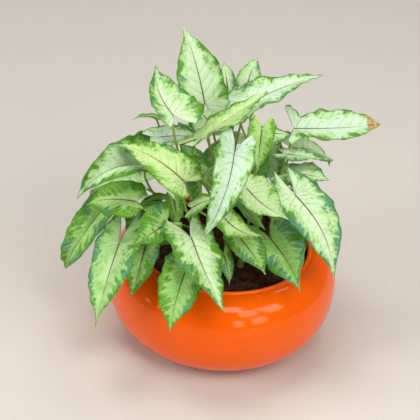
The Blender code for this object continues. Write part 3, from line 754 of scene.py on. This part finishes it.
def pot_material():
    """Glossy orange plastic with faint scuffs round it and a little dust near the ground."""
    k = Nodes("orange_plastic", 0.16)
    place = k.place()
    x, y, z = k.split(place)
    broad = k.noise(place, 9.0, 2.0)
    fine = k.noise(place, 700.0, 3.0)
    dust = k.step(k.noise(place, 240.0, 5.0, 0.7), 0.62, 0.75)
    dust = k.times(dust, k.step(z, 0.004, 0.03, 0.6, 0.03))
    k.colour(k.mix(dust, k.mix(broad, *ORANGE), DUST))
    round_it = k.join(k.times(x, 40.0), k.times(y, 40.0), k.times(z, 900.0))
    scuff = k.step(k.noise(round_it, 1.0, 3.0), 0.5, 0.8, 0.05, 0.1)
    k.put(k.shader.inputs["Roughness"], k.plus(scuff, k.times(dust, 0.5)))
    k.shine(0.45, (1.0, 0.6, 0.45))
    k.bump(k.plus(k.times(fine, 0.15), k.noise(place, 38.0, 2.0)), 0.32, 0.0008)
    return k.mat


def soil_material(name, dark, light):
    k = Nodes(name, 0.95)
    place = k.place()
    grain = k.noise(place, 900.0, 6.0, 0.7)
    lump = k.noise(place, 190.0, 3.0)
    colour = k.mix(k.step(lump, 0.35, 0.7), dark, light)
    k.colour(k.mix(k.step(grain, 0.5, 0.75, 0.0, 0.55), colour, SOIL_GRAIN))
    k.shine(0.2)
    k.bump(grain, 0.7, 0.0012)
    return k.mat


def lathe(name, profile, steps, mat):
    """A closed body turned about Z from (radius, z) points in mm, from axis to axis."""
    bm = bmesh.new()
    turns = [math.tau * i / steps for i in range(steps)]
    rings = []
    for r, z in profile:
        if r < 1e-6:
            rings.append([bm.verts.new((0, 0, z * MM))] * steps)
        else:
            rings.append([bm.verts.new((r * math.cos(a) * MM, r * math.sin(a) * MM, z * MM))
                          for a in turns])
    for low, high in zip(rings, rings[1:]):
        for i in range(steps):
            j = (i + 1) % steps
            ring = []
            for v in (low[i], low[j], high[j], high[i]):
                if v not in ring:
                    ring.append(v)
            bm.faces.new(ring)
    return finish_mesh(bm, name, mat)


def round_lip(radius, z, size, count):
    """Half a circle from the outer wall over the top to the inner wall."""
    return [(radius - size + size * math.cos(a), z + size * math.sin(a))
            for a in np.linspace(0, math.pi, count)]


def make_pot():
    """The pot stands on a ring, with the rest of its base a little higher."""
    lip_z = POT_HEIGHT - POT_WALL / 2
    low = bowl(POT_RADIUS, BASE_RADIUS, MOUTH_RADIUS, 0.8, lip_z, POT_WIDEST_Z, 40, 26)
    foot = [(0.0, 1.0), (BASE_RADIUS - 9, 1.0), (BASE_RADIUS - 7, 0.7), (BASE_RADIUS - 6, 0.12),
            (BASE_RADIUS - 5, 0.0), (BASE_RADIUS - 2, 0.0), (BASE_RADIUS - 0.6, 0.25)]
    lip = round_lip(MOUTH_RADIUS, lip_z, POT_WALL / 2, 13)[1:]
    wall = bowl(POT_RADIUS - POT_WALL, BASE_RADIUS - 1, MOUTH_RADIUS - POT_WALL, POT_FLOOR, lip_z,
                POT_WIDEST_Z, 30, 20)[::-1]
    profile = foot + low + lip + wall[1:] + [(0.0, POT_FLOOR)]
    return lathe("pot_shell", profile, POT_STEPS, pot_material())


def bumps(x, y, size, seed):
    """Smooth noise over the ground, about -1 to 1, with features of that size in mm."""
    return noise.noise(Vector((x / size, y / size, seed)))


def soil_height(x, y):
    """Crumbly top of the soil, mm above its plain level."""
    return (1.1 * bumps(x, y, 17, 1.0) + 0.9 * abs(bumps(x, y, 6, 2.0)) + 0.55 * bumps(x, y, 2.4, 3.0)
            - SOIL_SINK)


def soil_level(x, y):
    share = math.hypot(x, y) / MOUTH_RADIUS
    return SOIL_TOP + SOIL_MOUND * (1 - share ** 2) + soil_height(x, y)


def make_soil(mat):
    inner = bowl(POT_RADIUS - POT_WALL - SOIL_GAP, BASE_RADIUS - 3, MOUTH_RADIUS - POT_WALL - SOIL_GAP,
                 POT_FLOOR + SOIL_GAP, POT_HEIGHT, POT_WIDEST_Z, 16, 24)
    side = [(r, z) for r, z in inner if z < SOIL_TOP - 0.5]
    rim = side[-1][0] - 1.2
    top = [(rim * t, SOIL_TOP + SOIL_MOUND * (1 - t * t)) for t in np.linspace(1, 0, SOIL_RINGS)]
    ob = lathe("soil_bed", [(0.0, POT_FLOOR + SOIL_GAP)] + side + top, SOIL_STEPS, mat)
    for v in ob.data.vertices:
        x, y, z = v.co / MM
        if z > SOIL_TOP - 0.01:
            v.co.z += soil_height(x, y) * MM
    return ob


def random_spot(rng, inset):
    """A random place on the soil, at least inset mm from the pot's mouth."""
    r = (MOUTH_RADIUS - POT_WALL - inset) * math.sqrt(rng.random())
    a = math.tau * rng.random()
    return r * math.cos(a), r * math.sin(a)


def make_crumbs(mat, rng):
    """Loose crumbs on the soil, joined into one piece."""
    bm = bmesh.new()
    for _ in range(CRUMBS):
        x, y = random_spot(rng, 2.5)
        size = 0.55 + 1.5 * rng.random() ** 2.5
        grow = rng.uniform(0.6, 1.25, 3)
        made = bmesh.ops.create_icosphere(bm, subdivisions=2 if size > 1.2 else 1, radius=1.0)["verts"]
        turn = Matrix.Rotation(rng.random() * 6.3, 3, "X") @ Matrix.Rotation(rng.random() * 6.3, 3, "Z")
        seed = rng.random() * 50
        for v in made:
            rough = 1 + 0.35 * noise.noise(v.co * 1.7 + Vector((seed, 0, 0)))
            v.co = turn @ Vector([c * g * size * rough for c, g in zip(v.co, grow)])
            v.co += Vector((x, y, soil_level(x, y) + 0.25 * size))
            v.co *= MM
    return finish_mesh(bm, "soil_crumbs", mat)


def make_fibres(mat, rng):
    """Coco fibres lying on the soil, joined into one piece."""
    bm = bmesh.new()
    for _ in range(FIBRES):
        x, y = random_spot(rng, 7)
        heading = rng.random() * math.tau
        bend = rng.uniform(-0.5, 0.5)
        length = rng.uniform(4, 11)
        rings = []
        for i in range(FIBRE_RINGS):
            heading += bend
            x += length / FIBRE_RINGS * math.cos(heading)
            y += length / FIBRE_RINGS * math.sin(heading)
            reach = min(1.0, (MOUTH_RADIUS - POT_WALL - 2) / math.hypot(x, y))
            x, y = x * reach, y * reach
            z = soil_level(x, y) + 0.35 + 0.9 * math.sin(math.pi * i / FIBRE_RINGS)
            thick = 0.22 * math.sin(math.pi * (i + 0.6) / (FIBRE_RINGS + 0.4)) + 0.05
            side = Vector((-math.sin(heading), math.cos(heading), 0))
            ring = [Vector((x, y, z)) + thick * (side * math.cos(b) + Vector((0, 0, 1)) * math.sin(b))
                    for b in (0.3, 1.9, 3.4, 4.9)]
            rings.append([bm.verts.new(p * MM) for p in ring])
        close_tube(bm, rings)
    return finish_mesh(bm, "soil_fibres", mat)


def close_tube(bm, rings):
    """Faces between rings of vertices, and one over each end."""
    for low, high in zip(rings, rings[1:]):
        for j in range(len(low)):
            k = (j + 1) % len(low)
            bm.faces.new((low[j], low[k], high[k], high[j]))
    bm.faces.new(rings[0][::-1])
    bm.faces.new(rings[-1])


def tube(bm, points, radii, sides=10):
    """A closed round tube along points (mm) in a bmesh (metres)."""
    pts = [Vector(p) for p in points]
    rings = []
    side = None
    for i, p in enumerate(pts):
        ahead = (pts[min(i + 1, len(pts) - 1)] - pts[max(i - 1, 0)]).normalized()
        if side is None:
            side = ahead.orthogonal().normalized()
        side = (side - side.dot(ahead) * ahead).normalized()
        other = ahead.cross(side)
        rings.append([bm.verts.new((p + radii[i] * (side * math.cos(a) + other * math.sin(a))) * MM)
                      for a in (math.tau * j / sides for j in range(sides))])
    close_tube(bm, rings)


def stalk_ends():
    """For each plantlet: where its stalks end, with the leaf each one carries."""
    clouds = {n: np.array([tuple(v.co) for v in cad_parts[n].data.vertices]) / MM
              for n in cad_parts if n.startswith("plantlet_")}
    ends = {n: [] for n in clouds}
    for name, leaf in LEAVES.items():
        joint = np.array(leaf["joint"], float)
        away = {n: np.linalg.norm(c - joint, axis=1) for n, c in clouds.items()}
        key = min(away, key=lambda n: away[n].min())
        last = clouds[key][away[key] < away[key].min() + STALK_END_REACH]
        ends[key].append((name, last.mean(axis=0)))
    return ends


def stalk_end_line(leaf, end):
    """Points and radii from just before the CAD stalk's end on to the blade, then under its midrib."""
    joint, length, d, n, s = axes(leaf)
    mx, mu, mw, ma = midrib(length, leaf["bend"])
    back = (end - joint) / np.linalg.norm(end - joint)
    line = [end + back * 1.5, end]
    radii = [0.72, 0.78]
    for share, r in STALK_TAPER:
        u, w, a = (float(np.interp(share, mx, k)) for k in (mu, mw, ma))
        turn = math.radians(leaf["twist"]) * share
        sweep = leaf["sweep"] * length * math.sin(math.pi * share)
        drop = BLADE_THICK / 2 + 0.1 + 0.6 * r
        line.append(joint + (u + drop * math.sin(a)) * d + (sweep + drop * math.sin(turn)) * s
                    + (w - drop * math.cos(a)) * n)
        radii.append(r)
    return line, radii


def make_plantlet(node, carried, mat):
    """The CAD stem and stalks, drawn on to their leaves and blended into one round surface."""
    bm = bmesh.new()
    bm.from_mesh(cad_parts[node].data)
    for name, end in carried:
        tube(bm, *stalk_end_line(LEAVES[name], end))
    me = bpy.data.meshes.new(node)
    bm.to_mesh(me)
    bm.free()
    me.materials.clear()
    me.materials.append(mat)
    ob = new_object(node.replace("plantlet", "stalks"), me)
    blend = ob.modifiers.new("Blend", "REMESH")
    blend.mode = "VOXEL"
    blend.voxel_size = STALK_VOXEL * MM
    blend.use_smooth_shade = True
    soften = ob.modifiers.new("Soften", "SMOOTH")
    soften.factor = 0.5
    soften.iterations = STALK_SOFTEN
    return ob


def area_light(name, place, size, power, colour):
    data = bpy.data.lights.new(name, "AREA")
    data.shape = "RECTANGLE"
    data.size, data.size_y = size
    data.energy = power
    data.color = colour
    ob = new_object(name, data)
    ob.location = Vector(place)
    ob.rotation_euler = (Vector(LIGHTS_AIM) - ob.location).to_track_quat("-Z", "Y").to_euler()


def camera_axes():
    """The camera's right, up and forward directions."""
    down = math.radians(CAMERA_DOWN)
    roll = math.radians(CAMERA_ROLL)
    ahead = Vector((0, math.cos(down), -math.sin(down)))
    level_up = Vector((0, math.sin(down), math.cos(down)))
    right = Vector((1, 0, 0)) * math.cos(roll) + level_up * math.sin(roll)
    return right, right.cross(ahead), ahead


def mirror_place(pixel):
    """Where a panel stands for the pot to mirror it to the camera at this pixel of the photograph."""
    right, up, ahead = camera_axes()
    x, y = pixel
    ray = (ahead * CAMERA_LENS / SENSOR_WIDTH + right * (x / PHOTO_PIXELS - 0.5)
           + up * (0.5 - y / PHOTO_PIXELS)).normalized()
    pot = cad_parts["pot"].data
    tree = BVHTree.FromPolygons([v.co for v in pot.vertices], [f.vertices for f in pot.polygons])
    spot = tree.ray_cast(Vector(CAMERA_PLACE) * MM, ray)[0]
    slope = Vector()
    for face in pot.polygons:
        slope += face.normal * math.exp(-((face.center - spot).length / (SLOPE_REACH * MM)) ** 2)
    return spot + ray.reflect(slope.normalized()) * PANEL_AWAY


def make_lights():
    for number, (pixel, size, power) in enumerate(PATCH_PANELS):
        area_light("key_%d" % number, mirror_place(pixel), size, power, KEY_COLOUR)
    area_light("key_high", *HIGH_PANEL, KEY_COLOUR)
    area_light("fill", *FILL, (1.0, 0.98, 0.95))
    sun = bpy.data.lights.new("high_sun", "SUN")
    sun.energy = SUN_STRENGTH
    sun.angle = math.radians(SUN_SPREAD)
    sun.color = (1.0, 0.99, 0.95)
    new_object("high_sun", sun).rotation_euler = Vector(SUN_AHEAD).to_track_quat("-Z", "Y").to_euler()


def make_stage():
    bm = bmesh.new()
    bmesh.ops.create_grid(bm, x_segments=2, y_segments=2, size=FLOOR_REACH)
    k = Nodes("pale_floor", 0.8)
    k.colour(k.mix(k.noise(k.place(), 3.0, 2.0), *FLOOR))
    floor = finish_mesh(bm, "floor", k.mat)
    world = bpy.data.worlds.new("studio")
    world.use_nodes = True
    sky = world.node_tree.nodes["Background"]
    sky.inputs["Color"].default_value = SKY
    sky.inputs["Strength"].default_value = SKY_STRENGTH
    bpy.context.scene.world = world
    bpy.context.scene.view_settings.view_transform = "Standard"
    make_lights()


def make_camera():
    right, up, ahead = camera_axes()
    data = bpy.data.cameras.new("camera")
    data.lens = CAMERA_LENS
    data.sensor_width = SENSOR_WIDTH
    ob = new_object("camera", data)
    ob.matrix_world = (Matrix.Translation(Vector(CAMERA_PLACE) * MM)
                       @ Matrix((right, up, -ahead)).transposed().to_4x4())
    bpy.context.scene.camera = ob


def stand_for(piece, slot, *nodes):
    """piece stands for these CAD nodes, or only adds to the look where there are none."""
    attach(piece, "root")
    if nodes:
        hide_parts(*nodes)


def main():
    make_camera()
    make_stage()
    rng = np.random.default_rng(7)
    stand_for(make_pot(), "pot", "pot")
    stand_for(make_soil(soil_material("soil", *SOIL)), "soil", "soil")
    stand_for(make_crumbs(soil_material("soil_crumb", *CRUMB), rng), "soil")
    stand_for(make_fibres(soil_material("coco_fibre", *FIBRE), rng), "soil")
    stalk = stalk_material()
    for node, carried in stalk_ends().items():
        stand_for(make_plantlet(node, carried, stalk), "stalk", node)
    top = leaf_top()
    under = leaf_under()
    for number, (name, leaf) in enumerate(LEAVES.items()):
        leaf["seed"] = number * SEED_STEP
        stand_for(make_leaf(name, leaf, top, under), "leaf", name)


main()
